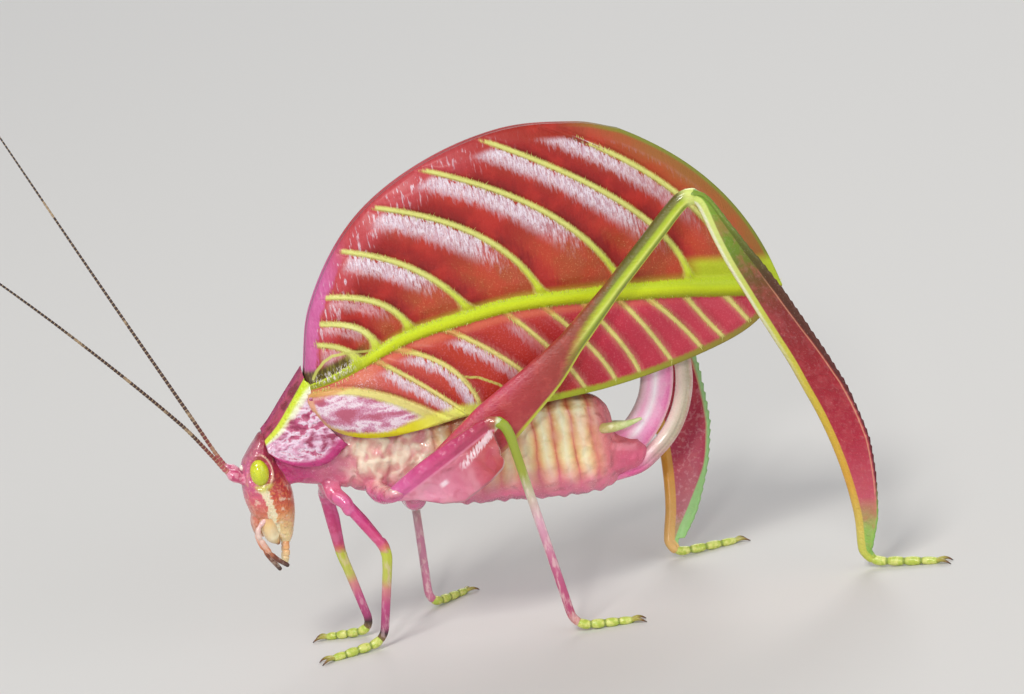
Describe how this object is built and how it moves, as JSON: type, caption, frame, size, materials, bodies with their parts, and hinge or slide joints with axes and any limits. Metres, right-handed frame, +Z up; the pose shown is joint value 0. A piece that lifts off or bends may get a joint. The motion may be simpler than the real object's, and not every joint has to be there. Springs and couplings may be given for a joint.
{
  "type": "leaf-mimicking katydid",
  "caption": "Life-size still model of a leaf-mimicking katydid, standing, with its folded leaf-like wings raised, lobed legs and an upcurved egg-laying blade",
  "frame": {"origin": "On the floor, under the middle of the model's box.", "axes": "+Z is up, the head looks along -X, and the insect's left side faces -Y."},
  "size_m": [0.06, 0.0238, 0.038],
  "materials": {
    "wing": "Satin, leaf-like: salmon red cells between raised yellow-green veins.",
    "body": "Soft satin skin, cream and pink, in pleats.",
    "shield": "Glossy mottled magenta and white plate with a yellow-green keel.",
    "head": "Glossy pink and orange-red cuticle.",
    "eye": "Glossy yellow-green.",
    "mouthparts": "Tan to dark brown cuticle.",
    "feeler": "Thin dark brown segments with pale marks.",
    "thigh": "Glossy red and pink lobes with a yellow-green edge.",
    "shin": "Yellow-green shaft with a red lobe.",
    "foot": "Yellow-green beaded foot with brown claw tips.",
    "tail": "Glossy pink and grey-white blade."
  },
  "bodies": {
    "root": {"abdomen": "body", "antenna_left": "feeler", "antenna_right": "feeler", "cercus_left": "tail", "cercus_right": "tail", "coxa_front_left": "body", "coxa_front_right": "body", "coxa_hind_left": "body", "coxa_hind_right": "body", "coxa_mid_left": "body", "coxa_mid_right": "body", "eye_left": "eye", "eye_right": "eye", "femur_front_left": "thigh", "femur_front_right": "thigh", "femur_hind_left": "thigh", "femur_hind_right": "thigh", "femur_mid_left": "thigh", "femur_mid_right": "thigh", "head": "head", "labrum": "mouthparts", "mandible_left": "mouthparts", "mandible_right": "mouthparts", "ovipositor_lower": "tail", "ovipositor_upper": "tail", "palp_labial_left": "mouthparts", "palp_labial_right": "mouthparts", "palp_maxillary_left": "mouthparts", "palp_maxillary_right": "mouthparts", "pronotum": "shield", "scape_left": "head", "scape_right": "head", "tarsus_front_left": "foot", "tarsus_front_right": "foot", "tarsus_hind_left": "foot", "tarsus_hind_right": "foot", "tarsus_mid_left": "foot", "tarsus_mid_right": "foot", "tegmen_left": "wing", "tegmen_right": "wing", "thorax": "body", "tibia_front_left": "shin", "tibia_front_right": "shin", "tibia_hind_left": "shin", "tibia_hind_right": "shin", "tibia_mid_left": "shin", "tibia_mid_right": "shin"}
  },
  "joints": []
}
